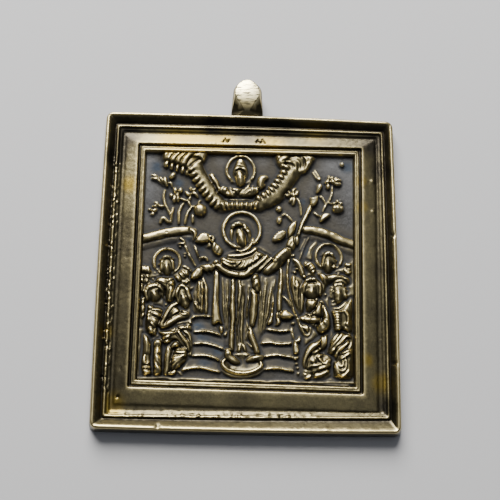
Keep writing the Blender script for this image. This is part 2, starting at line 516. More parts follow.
def right_plants(c):
    """The sprays and fruit to the right of the middle figure."""
    c.front.strokes([[(8.6, 13.7), (9.1, 12.8), (9.4, 11.5), (9.55, 10.3)],
                     [(15.35, 16.5), (15.25, 15.2), (15.0, 14.0), (14.5, 13.2), (13.9, 12.5), (13.4, 11.1)],
                     [(6.6, 10.5), (7.2, 9.9), (7.95, 9.1)], [(5.8, 10.0), (6.6, 10.55)],
                     [(14.5, 12.9), (15.3, 12.8), (16.0, 12.9)],
                     [(12.9, 14.1), (13.4, 13.8), (13.8, 12.8)],
                     [(11.9, 10.9), (12.4, 10.4), (12.9, 10.2)]],
                    0.2, 0.7, ends=(0.8, 0.8))
    c.front.strokes([[(6.7, 14.1), (7.3, 13.9)], [(7.2, 14.7), (7.7, 14.0)],
                     [(8.0, 14.1), (8.0, 14.9), (8.45, 15.4)],
                     [(7.4, 13.0), (8.1, 13.8)], [(8.0, 12.5), (8.25, 13.7)], [(8.85, 14.8), (8.5, 14.0)]],
                    0.33, 0.9, ends=(0.8, 0.7))
    c.mass.dome(8.1, 14.0, 0.55, 0.5, 1.0)
    c.front.strokes([[(14.7, 18.05), (14.75, 17.4), (14.3, 17.2)], [(14.1, 16.75), (14.8, 16.95)],
                     [(15.25, 17.8), (15.4, 17.0)], [(15.95, 17.6), (15.6, 17.1)],
                     [(16.7, 17.2), (16.0, 17.1), (15.4, 16.9)], [(16.7, 16.5), (16.0, 16.5),
                                                                  (15.5, 16.8)]],
                    0.34, 0.9, ends=(0.8, 0.7))
    c.mass.dome(15.4, 16.9, 0.6, 0.5, 0.95)
    c.front.dome(14.5, 16.0, 0.45, 0.6, 1.0)
    c.front.dome(16.2, 11.9, 1.2, 1.1, 0.95)
    c.line.between([(15.4, 12.5), (15.4, 11.4)], [(16.8, 12.3), (16.8, 11.4)], 4, 0.2, 0.27)
    c.front.strokes([[(15.1, 12.7), (15.9, 12.8)], [(16.1, 13.4), (16.1, 12.7)],
                     [(17.0, 12.9), (16.4, 12.7)]],
                    0.32, 0.95)
    c.front.beads([(16.75, 13.5)], 0.24, 0.6)
    c.front.dome(5.4, 11.35, 0.62, 0.62, 0.95)
    c.front.dome(5.45, 9.25, 0.55, 0.85, 0.95, turn=-10)
    c.cut.dome(5.6, 9.7, 0.22, 0.22, 0.4)
    # Leaves with raised rims
    for outline, rim in (([(4.1, 5.7), (4.7, 6.6), (5.6, 7.2), (6.7, 7.4), (6.9, 6.6), (6.2, 5.5),
                           (5.2, 5.1), (4.3, 5.1)],
                          [(4.3, 5.5), (4.8, 6.4), (5.6, 6.95), (6.5, 7.15)]),
                         ([(6.85, 6.9), (7.1, 8.0), (7.9, 8.95), (8.7, 9.3), (8.7, 8.2), (8.3, 6.9),
                           (7.6, 5.8), (6.9, 5.7)],
                          [(7.0, 7.2), (7.3, 8.0), (7.9, 8.7), (8.5, 9.0)]),
                         ([(12.7, 9.6), (13.3, 10.6), (14.2, 10.95), (14.95, 10.7), (14.6, 10.1),
                           (13.7, 9.4), (12.9, 9.0)],
                          [(12.8, 9.8), (13.4, 10.5), (14.2, 10.8), (14.8, 10.65)])):
        c.front.plate(outline, 0.75, 0.4)
        c.line.stroke(rim, 0.3, 0.2)
    c.line.stroke([(13.1, 9.2), (13.8, 9.8), (14.7, 10.4)], 0.18, 0.34)
    c.line.stroke([(6.7, 5.7), (6.6, 6.5)], 0.2, 0.34)
    c.front.dome(17.1, 20.35, 0.46, 0.46, 0.95)


def bare_head_and_veil(c):
    """The middle figure's ringed head under a veil."""
    halo(c, -1.3, 7.2, 3.4, 0.75, 0.36, squeeze=0.97)
    c.mass.dome(-1.4, 6.4, 2.1, 2.9, 0.55, sharp=0.35)
    c.line.stroke([(-3.3, 8.6), (-1.6, 9.3), (0.2, 8.7), (1.0, 7.0)], 0.3, 0.2)
    c.front.stroke([(-3.0, 5.2), (-3.1, 6.4), (-2.8, 7.6), (-1.8, 8.2), (-0.8, 7.8), (-0.15, 7.0),
                    (0.1, 5.8),
                    (0.0, 4.8)], 0.5, 0.8, ends=(0.4, 0.5))
    c.front.plate([(-3.4, 7.3), (-3.1, 8.1), (-2.2, 8.6), (-1.2, 8.4), (-1.1, 7.7), (-2.3, 7.6),
                   (-2.8, 7.0)],
                  1.05, 0.4)
    head(c, -1.27, 5.5, 1.05, 1.85, 1.05, turn=6, hair=False)
    c.line.stroke([(-2.3, 6.4), (-1.9, 7.1), (-1.3, 7.4), (-0.7, 7.3), (-0.3, 6.7)], 0.25, 0.4)
    c.line.beads([(-3.05, 7.7), (-2.5, 8.2), (-1.8, 8.4), (-0.7, 7.5), (-0.1, 6.9)], 0.3, 0.35)


def robe(c):
    """The middle figure's long robe in upright folds, the mantle's side falls, shoes and footstool."""
    c.front.plate([(-5.2, -0.6), (-4.9, -6.0), (-4.5, -10.8), (-4.1, -12.4), (-3.7, -14.8), (-2.0, -15.6),
                   (0.0, -15.6), (2.4, -15.5), (2.3, -12.9), (2.6, -12.0), (3.6, -10.2), (4.6, -6.0), (5.2,
                                                                                                       -1.0),
                   (2.0, -0.9), (-2.0, -1.2)], 0.3, 0.6)
    c.line.between([(-4.6, -1.6), (-4.3, -6.0), (-4.0, -11.6)],
                   [(-3.3, -1.8), (-3.3, -6.0), (-3.4, -13.8)], 3,
                   0.19, 0.3)
    c.line.between([(-1.9, -2.0), (-1.6, -6.0), (-1.9, -10.0), (-1.7, -15.0)],
                   [(0.2, -1.8), (-0.1, -6.0), (-0.3, -10.0), (-0.2, -14.8)], 4, 0.2, 0.41)
    c.line.between([(2.4, -1.3), (2.2, -6.0), (1.9, -12.2)], [(4.9, -1.2), (4.2, -5.0), (2.9, -11.0)], 5,
                   0.2, 0.34)
    c.line.strokes([[(-1.6, -2.2), (-1.45, -3.8), (-1.85, -6.2)],
                    [(-1.2, -3.2), (-1.35, -5.2), (-1.8, -7.6)]],
                   0.21, 0.55)
    c.line.strokes([[(-1.3, -13.6), (-1.6, -15.3)], [(-0.7, -13.8), (-0.3, -15.1)]], 0.29, 0.46)
    c.front.stroke([(-2.65, -1.9), (-2.7, -6.0), (-2.7, -10.5), (-2.9, -14.6)], 0.45, 1.0,
                   ends=(0.75, 0.95))
    c.cut.stroke([(-2.55, -2.0), (-2.6, -3.6)], 0.11, 0.3)
    # Drapery over the other leg, in three lengths
    c.front.stroke([(0.35, -10.6), (0.65, -12.0), (1.2, -13.5), (1.75, -15.1)], 0.52, 1.0, ends=(0.6, 0.95))
    c.front.stroke([(1.05, -4.2), (1.15, -6.0), (1.0, -8.0), (0.75, -10.0)], 0.68, 1.1, ends=(0.85, 0.7))
    c.front.stroke([(1.3, -1.2), (1.45, -2.4), (1.55, -3.7)], 0.68, 1.05, ends=(0.85, 0.8))
    c.line.strokes([[(0.7, -3.5), (1.2, -2.9), (1.8, -2.3)], [(0.6, -2.1), (1.4, -1.5)]], 0.25, 0.34)
    c.front.strokes([[(-0.3, -9.4), (0.0, -10.3), (0.2, -11.2)],
                     [(0.0, -13.1), (0.5, -14.0), (1.0, -14.5)]],
                    0.16, 0.7)
    # Falls of the mantle, wider at their lower ends
    c.front.plate([(-6.15, -0.3), (-6.35, -5.0), (-6.45, -9.9), (-5.6, -10.35), (-5.1, -10.05),
                   (-4.3, -10.3),
                   (-4.6, -8.5), (-5.0, -5.0), (-5.0, -0.4)], 0.95, 0.55)
    c.cut.stroke([(-5.6, -0.8), (-5.6, -3.5), (-5.45, -7.6)], 0.17, 0.34, ends=(0.9, 0.2))
    c.front.plate([(-5.3, -10.5), (-4.5, -10.4), (-4.2, -11.0), (-4.55, -12.1), (-5.0, -11.5)], 0.75, 0.3)
    c.front.plate([(-4.4, -12.1), (-3.8, -11.3), (-3.55, -12.0), (-3.7, -12.5)], 0.7, 0.25)
    c.front.plate([(4.5, -3.3), (4.8, -5.5), (4.6, -7.8), (4.5, -9.6), (3.7, -10.2), (3.2, -9.9),
                   (3.7, -8.4),
                   (4.2, -6.0)], 0.8, 0.4)
    c.front.plate([(5.1, -7.0), (4.8, -8.4), (5.0, -9.6), (4.4, -10.4), (5.6, -10.1), (6.1, -9.2),
                   (5.9, -7.0)],
                  0.8, 0.4)
    c.front.stroke([(5.75, 0.4), (5.75, -2.0), (5.6, -5.0), (5.55, -7.4)], 0.46, 0.95, ends=(0.6, 0.95))
    c.cut.stroke([(5.45, -0.6), (5.5, -2.6)], 0.12, 0.3)
    c.line.between([(6.5, -0.2), (6.5, -4.5)], [(6.9, -0.2), (6.95, -4.5)], 2, 0.18, 0.54)
    # Footstool: a shallow oval dish with a double rim
    c.front.dome(-0.9, -17.35, 3.95, 2.25, 0.75, sharp=0.16)
    c.cut.dome(-0.9, -17.0, 3.3, 1.5, 0.38, sharp=0.8)
    c.line.ring(-0.9, -17.0, 1.55, 0.3, 0.32, start=170, stop=370, squeeze=2.2)
    c.cut.ring(-0.9, -17.15, 1.95, 0.14, 0.3, start=185, stop=355, squeeze=1.95)
    # Shoes
    c.front.stroke([(-3.5, -14.9), (-3.3, -15.8), (-2.3, -16.6), (-1.6, -16.8)], 0.6, 1.0, ends=(0.85, 0.6))
    c.front.stroke([(0.0, -16.4), (1.2, -16.0), (2.5, -15.8)], 0.55, 1.0, ends=(0.6, 0.85))
    c.line.strokes([[(-3.9, -15.4), (-2.7, -15.25)], [(0.9, -16.0), (2.5, -15.5)],
                    [(-4.0, -16.2), (-3.6, -16.5)],
                    [(2.0, -16.5), (2.6, -16.2)]], 0.27, 0.34)
    # Cloth that hangs from the hand on the left
    c.front.plate([(-9.3, -2.4), (-8.0, -1.8), (-7.4, -3.0), (-7.05, -5.0), (-7.1, -8.1), (-9.5, -8.4),
                   (-10.1, -5.0)],
                  0.45, 0.8)
    c.front.stroke([(-7.95, -1.9), (-7.5, -3.6), (-7.35, -6.0), (-7.35, -8.1)], 0.32, 0.8, ends=(0.7, 0.9))
    c.line.strokes([[(-8.7, -2.2), (-8.7, -4.0), (-8.6, -6.4)], [(-8.2, -2.6), (-8.1, -5.0), (-8.1, -8.0)],
                    [(-10.1, -4.1), (-9.7, -3.3)], [(-9.3, -6.4), (-8.8, -7.2), (-8.5, -7.6)]], 0.21, 0.49)


def angel_left(c):
    """The winged figure on the left, ringed head, curled hair and a collar of folds."""
    # Wings: long feather tips above rows of short ones
    c.mass.plate([(-19.3, 0.2), (-17.4, 0.1), (-17.1, -2.0), (-17.3, -5.6), (-19.3, -5.6)], 0.35, 0.3)
    c.line.strokes([[(-19.0, 0.0), (-18.8, -0.6), (-18.7, -1.3)],
                    [(-18.4, 0.05), (-18.25, -0.6), (-18.1, -1.3)],
                    [(-17.8, -0.1), (-17.65, -0.7), (-17.6, -1.4)]], 0.3, 0.61, ends=(0.9, 0.4))
    c.line.between([(-18.95, -1.8), (-18.4, -2.3)], [(-18.9, -4.3), (-18.35, -4.8)], 6, 0.19, 0.54)
    c.line.between([(-18.0, -1.8), (-17.6, -2.3)], [(-18.2, -4.3), (-17.8, -4.8)], 5, 0.18, 0.41)
    c.mass.plate([(-13.4, -1.2), (-12.0, 0.3), (-11.0, 0.3), (-10.0, -0.5), (-10.0, -1.5), (-10.6, -3.1),
                  (-13.0, -3.6)], 0.35, 0.3)
    c.line.strokes([[(-11.7, 0.1), (-11.2, 0.0), (-11.0, -0.4)], [(-10.65, 0.0), (-10.6, -0.6)],
                    [(-10.1, -0.5), (-10.15, -0.9)]], 0.28, 0.55)
    c.line.between([(-11.9, -0.6), (-11.0, -1.8)], [(-13.0, -1.7), (-12.1, -2.7)], 5, 0.19, 0.54)
    c.line.between([(-11.2, -0.7), (-10.6, -1.7)], [(-11.6, -0.6), (-10.8, -1.9)], 2, 0.18, 0.41)
    c.line.beads([(-12.6, -3.2), (-11.6, -2.85), (-11.0, -2.9), (-10.55, -2.5)], 0.26, 0.5)
    # Breast with a collar of folds
    c.front.plate([(-17.8, -3.3), (-17.2, -2.5), (-15.8, -1.7), (-13.2, -1.8), (-12.5, -3.6), (-12.9, -6.6),
                   (-14.6, -6.8), (-15.0, -4.4), (-16.6, -3.4)], 0.75, 1.2)
    for drop in (0.0, 0.45, 0.9, 1.35):
        c.line.stroke([(-16.3 + 0.25 * drop, -1.9 - drop), (-15.3, -2.35 - drop), (-14.5, -2.6 - drop)],
                      0.21,
                      0.46)
    c.line.strokes([[(-14.2, -2.7), (-13.7, -2.3), (-13.3, -2.1)], [(-14.0, -3.4), (-13.2, -2.8)],
                    [(-17.7, -3.4), (-17.3, -2.8)]], 0.25, 0.46)
    c.line.between([(-14.3, -3.6), (-14.4, -6.6)], [(-12.9, -3.6), (-13.4, -6.4)], 4, 0.2, 0.35)
    halo(c, -14.5, 0.95, 2.35, 0.5)
    c.front.dome(-14.5, 0.5, 1.35, 1.85, 0.6, sharp=0.35)
    head(c, -14.45, 0.0, 0.98, 1.95, 1.05, turn=4)
    c.line.stroke([(-15.4, 1.6), (-14.9, 1.9), (-14.2, 1.8), (-13.7, 1.85)], 0.34, 0.47)
    c.front.beads([(-15.75, 1.2), (-15.95, 0.3), (-16.1, -0.6), (-16.6, -1.1), (-13.4, 1.5), (-16.8, -2.4)],
                  0.3, 0.65)


def angel_right(c):
    """The winged figure on the right, ringed head with a fringe of curls."""
    c.mass.plate([(9.7, 1.0), (10.4, 2.0), (11.4, 1.6), (12.3, 0.8), (12.3, -0.4), (11.0, -0.7),
                  (10.3, 0.3)],
                 0.45, 0.5)
    c.line.between([(9.8, 1.1), (10.4, 1.9)], [(10.1, 0.8), (10.8, 1.6)], 2, 0.18, 0.47)
    c.line.stroke([(10.3, 0.85), (11.1, 1.35)], 0.32, 0.66, ends=(0.8, 0.9))
    c.line.between([(10.7, 0.3), (11.7, 1.2)], [(11.3, -0.5), (12.1, 0.2)], 4, 0.19, 0.51)
    c.mass.plate([(17.0, 1.5), (18.7, 1.6), (18.8, -1.0), (17.2, -0.8)], 0.4, 0.5)
    c.line.strokes([[(17.6, 1.4), (17.6, 0.9)], [(18.1, 1.4), (18.1, 0.9)]], 0.29, 0.55)
    c.line.between([(17.2, 0.6), (17.6, 0.0), (18.5, 0.3)], [(17.4, -0.1), (17.8, -0.6), (18.5, -0.3)], 3,
                   0.19, 0.47)
    c.front.plate([(11.9, -0.2), (13.2, -0.3), (15.6, -0.4), (17.2, -0.5), (18.3, -1.2), (18.0, -2.6),
                   (14.6, -2.6),
                   (13.9, -5.0), (12.9, -4.2), (12.6, -1.8)], 0.65, 0.9)
    c.line.between([(12.4, -0.2), (13.3, -1.3), (13.9, -2.6)], [(13.0, -0.2), (13.7, -1.1), (14.3, -1.4)],
                   3, 0.21, 0.41)
    c.line.between([(14.6, -1.2), (15.4, -0.7), (16.4, -0.5)], [(14.8, -2.1), (16.0, -1.4), (17.8, -1.4)],
                   4, 0.2, 0.38)
    halo(c, 14.4, 2.65, 2.4, 0.45)
    c.front.dome(14.5, 1.7, 1.4, 1.9, 0.6, sharp=0.35)
    head(c, 14.4, 1.3, 1.0, 2.05, 1.05, turn=-4)
    c.line.strokes([[(13.0, 2.9), (13.6, 3.0), (14.0, 2.9)], [(14.0, 2.9), (14.0, 3.7)],
                    [(14.5, 2.9), (14.55, 3.6)],
                    [(15.0, 2.8), (15.25, 3.4)], [(13.5, 3.2), (13.4, 3.5)]], 0.27, 0.54)
    c.front.beads([(15.5, 2.6), (15.7, 1.9), (15.55, 1.15), (16.0, 0.65), (16.2, -0.5)], 0.3, 0.65)


def kneeling_left(c):
    """Two kneeling figures on the left, one behind the other, hands joined and lifted."""
    # Back figure's robe, its ribbed sleeve and the wing's edge beside it
    c.front.plate([(-18.9, -5.4), (-17.8, -5.8), (-17.2, -8.0), (-17.0, -10.4), (-18.2, -11.0),
                   (-19.3, -10.4)],
                  0.4, 0.5)
    c.line.between([(-18.3, -5.7), (-18.7, -6.2)], [(-18.0, -8.7), (-18.6, -9.6)], 8, 0.19, 0.54)
    c.front.plate([(-17.9, -6.6), (-16.4, -7.0), (-14.9, -7.4), (-14.6, -9.0), (-15.4, -11.0),
                   (-16.2, -12.6),
                   (-17.6, -12.4), (-18.2, -10.2)], 0.8, 1.1)
    c.line.strokes([[(-17.5, -8.3), (-17.2, -8.5)], [(-17.6, -8.9), (-17.3, -9.2)],
                    [(-17.5, -9.5), (-17.1, -9.9)]],
                   0.25, 0.46)
    c.line.between([(-16.6, -8.0), (-15.6, -8.0), (-14.8, -8.3)],
                   [(-17.0, -10.2), (-16.4, -10.8), (-15.8, -11.2)],
                   6, 0.2, 0.43)
    c.line.strokes([[(-17.3, -7.0), (-17.2, -7.5), (-16.8, -7.4), (-16.8, -6.9)],
                    [(-17.5, -7.4), (-16.9, -7.8)]],
                   0.22, 0.5)
    c.line.strokes([[(-17.0, -11.2), (-16.6, -12.0)], [(-16.0, -11.3), (-16.2, -12.4)],
                    [(-15.9, -11.3), (-15.3, -11.6)]],
                   0.25, 0.54)
    c.front.beads([(-14.4, -6.95)], 0.32, 0.8)
    head(c, -16.5, -5.0, 1.35, 1.65, 1.1, turn=20)
    c.line.strokes([[(-17.4, -4.3), (-16.9, -3.9), (-16.4, -3.8)], [(-16.0, -4.4), (-15.5, -4.5)]], 0.27,
                   0.27)
    c.front.stroke([(-15.6, -4.5), (-15.1, -5.2), (-14.75, -6.0)], 0.2, 0.75)
    # Robes below: knees, hanging folds and the hem on the ground
    c.front.plate([(-18.3, -11.8), (-16.9, -12.6), (-16.4, -16.0), (-16.2, -19.0), (-18.4, -19.2)], 0.6,
                  0.8)
    c.line.between([(-18.0, -12.2), (-17.9, -15.6)], [(-17.0, -13.0), (-17.0, -15.8)], 4, 0.19, 0.41)
    c.line.stroke([(-17.8, -16.0), (-17.8, -17.0), (-17.4, -17.5), (-17.0, -17.2)], 0.24, 0.49)
    c.line.strokes([[(-18.1, -18.1), (-16.7, -18.15)], [(-18.0, -18.6), (-17.0, -18.85), (-16.1, -19.0)]],
                   0.21, 0.54)
    c.front.plate([(-16.6, -13.4), (-15.6, -12.8), (-14.7, -13.4), (-14.6, -16.0), (-14.5, -19.2),
                   (-16.4, -19.2)],
                  0.95, 1)
    c.line.strokes([[(-16.3, -14.2), (-15.8, -13.4), (-15.5, -13.8)], [(-15.3, -13.3), (-15.05, -14.0)]],
                   0.27, 0.47)
    c.line.strokes([[(-16.1, -14.8), (-15.8, -16.4), (-15.0, -17.6)],
                    [(-15.5, -14.8), (-15.6, -16.0), (-14.9, -17.0)],
                    [(-16.2, -16.6), (-15.6, -18.0), (-14.8, -18.6)]], 0.21, 0.38)
    c.cut.dome(-15.45, -15.9, 0.25, 0.3, 0.3)
    c.front.plate([(-15.9, -11.6), (-13.4, -10.9), (-10.2, -10.2), (-9.7, -11.6), (-9.6, -14.6),
                   (-9.9, -16.2),
                   (-11.2, -17.8), (-12.0, -19.0), (-13.6, -19.3), (-14.6, -19.2), (-14.4, -15.0), (-14.9,
                                                                                                    -13.2)],
                  0.7, 1.2)
    c.line.between([(-13.7, -10.9), (-13.0, -11.5)], [(-10.5, -10.0), (-10.3, -11.2)], 8, 0.18, 0.3)
    c.line.strokes([[(-15.5, -11.9), (-14.2, -12.0), (-12.7, -11.95)],
                    [(-15.2, -12.9), (-14.3, -12.9), (-13.5, -12.5)],
                    [(-15.1, -12.8), (-14.6, -13.5), (-13.7, -13.5)]], 0.27, 0.51)
    c.line.strokes([[(-9.95, -9.9), (-10.4, -10.5)], [(-10.0, -10.8), (-10.0, -11.3)]], 0.22, 0.54)
    c.front.stroke([(-11.2, -11.6), (-10.2, -12.2), (-9.9, -14.0), (-9.9, -15.6)], 0.4, 0.75,
                   ends=(0.7, 0.7))
    c.front.stroke([(-12.1, -11.7), (-11.3, -12.7), (-10.5, -13.7), (-10.1, -15.0)], 0.42, 1.0,
                   ends=(0.95, 0.6))
    c.line.strokes([[(-12.5, -14.7), (-11.6, -14.8), (-10.6, -14.8)],
                    [(-12.4, -15.3), (-11.5, -15.4), (-10.6, -15.3)],
                    [(-12.9, -16.5), (-11.8, -16.2), (-10.6, -15.8)], [(-13.1, -17.2), (-12.2, -16.7),
                                                                       (-11.2, -16.1)],
                    [(-13.0, -17.9), (-12.2, -17.2), (-11.2, -16.4)], [(-12.3, -18.3), (-11.7, -17.4),
                                                                       (-10.7, -16.6)]],
                   0.24, 0.49)
    c.front.stroke([(-12.9, -13.9), (-13.5, -15.0), (-13.8, -16.6), (-13.9, -18.9)], 0.66, 0.9,
                   ends=(0.9, 0.9))
    c.front.plate([(-13.6, -14.2), (-13.0, -13.4), (-12.3, -13.2), (-11.6, -13.9), (-11.1, -14.4),
                   (-12.4, -14.6),
                   (-13.2, -14.9)], 1.15, 0.7)
    c.front.stroke([(-13.5, -19.1), (-12.7, -18.8), (-12.0, -18.3)], 0.3, 0.85)
    c.front.stroke([(-12.0, -18.4), (-11.5, -18.9), (-11.2, -19.3)], 0.2, 0.5)
    # Arms of the front figure: a bent sleeve and a forearm that ends in joined hands
    c.front.plate([(-12.5, -6.7), (-13.8, -7.3), (-15.0, -9.4), (-15.4, -10.7), (-14.4, -11.2),
                   (-12.6, -10.0),
                   (-10.6, -9.4), (-10.0, -8.5), (-11.5, -7.9)], 0.75, 0.9)
    c.front.stroke([(-14.7, -10.6), (-13.4, -10.0), (-12.2, -9.2), (-10.5, -8.9)], 0.56, 1.0,
                   ends=(0.95, 0.55))
    c.front.stroke([(-12.5, -6.7), (-13.5, -7.4), (-14.3, -8.8), (-15.0, -10.3)], 0.46, 1.05,
                   ends=(0.7, 0.95))
    c.mass.dome(-14.9, -10.5, 0.85, 0.75, 1.0)
    c.line.strokes([[(-13.4, -9.2), (-12.6, -8.3), (-11.8, -7.9)], [(-13.6, -8.6), (-12.8, -7.6)]], 0.19,
                   0.27)
    c.front.strokes([[(-12.0, -8.5), (-11.2, -8.65), (-10.2, -8.6)],
                     [(-11.7, -7.9), (-11.0, -8.2), (-10.3, -8.4)]],
                    0.22, 1.1)
    head(c, -11.35, -5.5, 1.05, 2.3, 1.15, turn=18)
    c.line.strokes([[(-12.3, -4.2), (-12.6, -4.8), (-12.8, -5.6)],
                    [(-10.9, -4.1), (-10.6, -4.9), (-10.2, -5.7)]],
                   0.25, 0.41)
    c.line.strokes([[(-12.2, -3.9), (-11.7, -3.6), (-11.2, -3.8)]], 0.31, 0.27)


def kneeling_right(c):
    """The bearded figure with a crutch, one behind it, and their robes on the right."""
    # Back figure: breast, ribbed sleeve and folds
    c.front.plate([(14.5, -5.0), (15.2, -6.6), (17.4, -5.2), (18.8, -5.0), (18.8, -12.2), (17.2, -11.2),
                   (15.2, -11.4),
                   (14.7, -9.0)], 0.8, 1.2)
    c.line.ribs([(15.75, -8.1), (15.75, -10.5)], 6, -0.6, 0.6, 0.21, 0.46)
    c.line.strokes([[(17.0, -7.2), (17.7, -8.4), (17.6, -9.8)], [(17.4, -9.5), (17.7, -10.0)],
                    [(17.1, -10.4), (18.2, -11.3)], [(15.1, -7.5), (16.6, -7.4)]], 0.24, 0.49)
    head(c, 16.15, -4.1, 1.15, 2.0, 1.0, turn=-4)
    c.front.stroke([(15.2, -2.35), (15.9, -1.95), (16.9, -1.85), (17.5, -2.5)], 0.32, 0.95)
    c.front.strokes([[(14.6, -2.9), (15.2, -2.9)], [(14.6, -3.5), (15.2, -3.5)],
                     [(14.6, -4.1), (15.1, -4.2)],
                     [(14.7, -4.8), (15.2, -4.9)], [(14.9, -5.4), (15.4, -5.6)], [(17.9, -3.3),
                                                                                  (17.6, -4.0)],
                     [(17.3, -2.9), (17.7, -3.1)]], 0.22, 0.62)
    c.line.between([(15.5, -5.0), (15.7, -6.0)], [(16.8, -5.0), (16.5, -6.0)], 4, 0.18, 0.19)
    c.front.stroke([(15.15, -6.75), (16.2, -6.75), (17.0, -6.2), (17.5, -5.5)], 0.28, 0.85)
    # Robe of the back figure: diagonal folds, a knee and a nest of folds below it
    c.front.plate([(13.6, -14.6), (14.8, -12.2), (16.0, -10.8), (17.4, -10.9), (18.8, -12.0), (18.8, -19.0),
                   (14.9, -19.2), (14.7, -16.0)], 0.75, 1.2)
    c.line.between([(13.9, -13.7), (15.0, -12.4), (16.0, -10.9)],
                   [(14.4, -14.7), (16.2, -13.1), (17.4, -11.4)], 4,
                   0.24, 0.51)
    c.line.between([(15.1, -16.4), (15.7, -18.2), (16.7, -18.9), (17.7, -17.8), (17.8, -15.8)],
                   [(15.9, -16.6), (16.2, -17.2), (16.5, -17.4), (16.8, -17.0),
                    (16.9, -15.9)], 4, 0.21, 0.46)
    c.front.plate([(15.0, -15.0), (15.5, -14.0), (16.5, -13.1), (17.8, -12.1), (18.0, -13.2), (17.2, -14.2),
                   (16.3, -15.0), (15.6, -16.4)], 1.15, 0.7)
    c.line.strokes([[(16.4, -14.9), (17.1, -14.7), (17.9, -14.4)],
                    [(16.4, -15.9), (17.2, -15.4), (18.0, -14.9)],
                    [(17.3, -11.7), (17.8, -11.9)]], 0.25, 0.49)
    # Robe of the front figure
    c.front.plate([(12.9, -11.4), (14.4, -11.2), (14.2, -13.4), (13.2, -14.8), (14.9, -15.4), (15.0, -17.0),
                   (14.4, -19.2), (9.8, -19.4), (9.4, -16.0), (10.2, -13.6), (11.6, -12.4)], 0.7, 1.1)
    c.line.between([(13.0, -11.8), (13.1, -13.2), (12.9, -14.4)],
                   [(14.0, -11.6), (13.9, -13.0), (13.3, -14.4)], 3,
                   0.22, 0.54)
    c.line.strokes([[(11.2, -15.1), (12.0, -14.7), (12.7, -14.2)],
                    [(12.1, -15.8), (13.2, -15.2), (14.4, -15.6)],
                    [(12.4, -15.8), (13.4, -16.8), (14.6, -17.0)], [(14.8, -15.9), (13.9, -16.6),
                                                                    (12.9, -17.0)],
                    [(12.7, -16.3), (13.0, -16.4)], [(13.7, -16.3), (14.0, -16.4)],
                    [(11.3, -17.2), (12.4, -17.1), (13.0, -17.0)], [(12.3, -17.9), (13.2, -17.5),
                                                                    (14.3, -17.2)]],
                   0.24, 0.51)
    c.line.dome(11.6, -16.4, 0.5, 0.5, 0.3)
    c.front.plate([(12.85, -11.9), (12.0, -12.7), (11.1, -12.9), (10.3, -13.7), (9.8, -14.9), (9.55, -16.4),
                   (9.8, -17.6), (10.3, -17.7), (10.5, -16.4), (11.2, -15.2), (12.5, -14.2), (12.95,
                                                                                              -13.2)],
                  1.25, 0.8)
    c.front.stroke([(9.9, -17.9), (10.5, -18.2), (11.0, -17.8)], 0.25, 0.75)
    c.front.stroke([(10.1, -19.25), (10.9, -19.0), (11.5, -18.6)], 0.28, 0.8)
    c.front.stroke([(11.8, -18.9), (13.0, -18.6), (14.2, -18.0)], 0.36, 0.95, ends=(0.7, 0.8))
    # Cloth behind the crutch
    c.front.plate([(7.8, -0.8), (9.0, -1.0), (10.3, -2.2), (10.3, -7.4), (9.2, -8.4), (8.1, -6.6),
                   (7.7, -4.2),
                   (7.5, -2.2)], 0.45, 0.5)
    c.line.between([(8.1, -1.0), (8.0, -3.6), (8.5, -6.6)], [(9.7, -3.0), (9.8, -5.2), (9.5, -7.4)], 5,
                   0.19, 0.41)
    c.line.stroke([(8.1, -0.9), (8.15, -2.6), (8.6, -3.3), (8.9, -2.8), (8.7, -2.1)], 0.21, 0.54)
    c.line.between([(6.5, 0.6), (6.4, -3.4)], [(6.9, 1.4), (6.7, -3.8)], 2, 0.16, 0.38)
    c.line.stroke([(7.9, 1.6), (7.65, 0.0), (7.7, -3.0), (8.2, -5.6)], 0.19, 0.38)
    crutch = [(8.1, 2.8), (7.5, 2.4), (7.15, 1.0), (7.05, -1.2), (7.15, -3.2), (7.7, -5.8), (8.1, -7.1),
              (8.7, -8.5),
              (9.3, -10.0), (9.7, -11.0), (10.4, -11.8), (11.0, -11.2), (11.1, -10.2)]
    c.front.stroke(crutch, 0.25, 0.8, ends=(0.9, 0.7))
    c.front.stroke([(6.2, -4.7), (6.9, -5.5), (7.6, -6.6)], 0.24, 0.7)
    c.front.beads([(8.6, -8.35)], 0.34, 1.0)
    c.line.strokes([[(9.6, -10.1), (10.2, -10.8)], [(10.4, -10.1), (10.5, -11.2)]], 0.21, 0.5)
    # Raised hand
    c.front.stroke([(8.15, 2.0), (8.8, 1.4), (9.4, 0.4), (9.8, -0.9)], 0.5, 1.0, ends=(0.55, 0.9))
    c.mass.strokes([[(8.3, 0.95), (9.0, 0.7)], [(8.1, -0.2), (8.6, -0.5)], [(8.0, -1.0), (8.3, -1.2)],
                    [(8.4, 0.3), (8.9, 0.1)]], 0.2, 0.75)
    c.front.stroke([(9.7, -1.35), (10.4, -1.0)], 0.24, 0.9)
